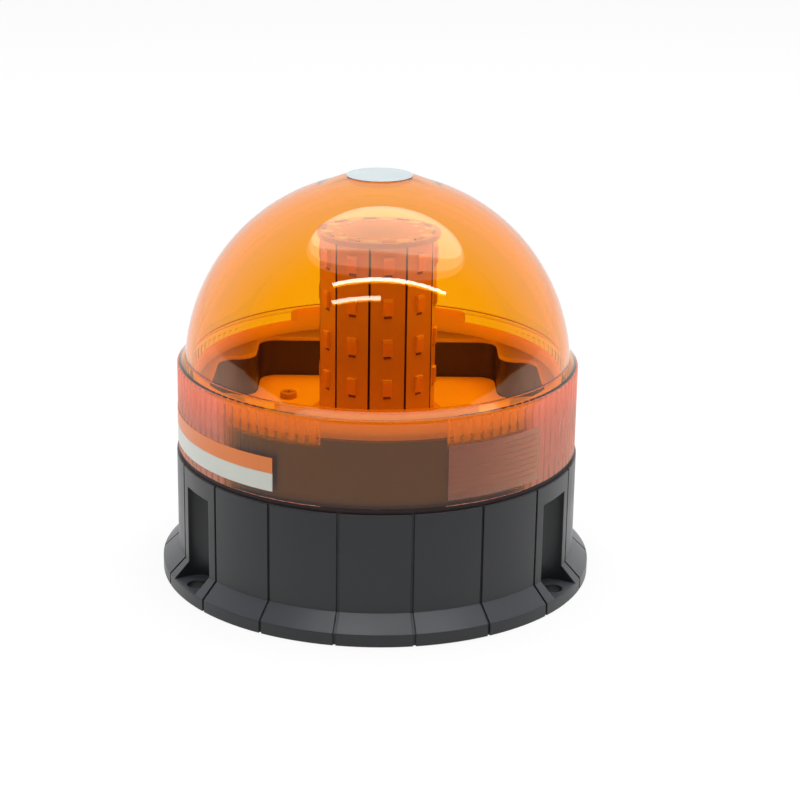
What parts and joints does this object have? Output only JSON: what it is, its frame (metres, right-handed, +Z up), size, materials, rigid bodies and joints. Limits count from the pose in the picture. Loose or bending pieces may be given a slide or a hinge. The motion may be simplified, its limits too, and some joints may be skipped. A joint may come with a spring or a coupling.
{
  "type": "rotating beacon",
  "caption": "Domed amber warning beacon on a grooved black three-bolt base, with a ten-sided LED tower inside and a twist-lock lens.",
  "frame": {"origin": "centre of the base's underside", "axes": "+Z up through the dome; the front, opposite the rear bolt pocket, faces -Y; +X is to the viewer's right"},
  "size_m": [0.14, 0.14, 0.13],
  "materials": {
    "black_housing": "fine textured black moulding",
    "black_ring": "satin black moulding",
    "amber_lens": "transparent amber polycarbonate, polished",
    "seal_rubber": "matte rubber",
    "white_deck": "white reflector plastic",
    "screw_steel": "zinc plated",
    "driver_laminate": "green solder mask on glass-fibre board",
    "white_laminate": "white solder mask on glass-fibre board",
    "led_package": "white package with phosphor window",
    "capacitor_can": "sleeved can",
    "coil_ferrite": "enamelled copper on ferrite",
    "chip_epoxy": "moulded epoxy",
    "terminal_nylon": "green nylon"
  },
  "bodies": {
    "housing": {"base_housing": "black_housing", "bottom_plate": "black_housing", "bottom_plate_screws": "screw_steel", "cable_grommet": "seal_rubber", "lens_mount_ring": "black_ring", "mount_ring_screws": "screw_steel", "lens_seal": "seal_rubber", "reflector_rim": "white_deck", "reflector_deck": "white_deck", "deck_screws": "screw_steel", "driver_board": "driver_laminate", "driver_board_screws": "screw_steel", "driver_capacitors": "capacitor_can", "driver_coil": "coil_ferrite", "driver_chips": "chip_epoxy", "power_terminal": "terminal_nylon", "tower_header": "chip_epoxy", "tower_foot_board": "white_laminate", "led_board_01": "white_laminate", "led_board_02": "white_laminate", "led_board_03": "white_laminate", "led_board_04": "white_laminate", "led_board_05": "white_laminate", "led_board_06": "white_laminate", "led_board_07": "white_laminate", "led_board_08": "white_laminate", "led_board_09": "white_laminate", "led_board_10": "white_laminate", "led_row_1": "led_package", "led_row_2": "led_package", "led_row_3": "led_package", "led_row_4": "led_package", "tower_top_board": "white_laminate"},
    "lens_cover": {"lens": "amber_lens"}
  },
  "joints": [
    {"name": "lens_twist", "type": "hinge", "parent": "housing", "child": "lens_cover", "pos_m": [0, 0, 0.0425], "axis": [0, 0, 1], "range_deg": [0, 20]}
  ]
}
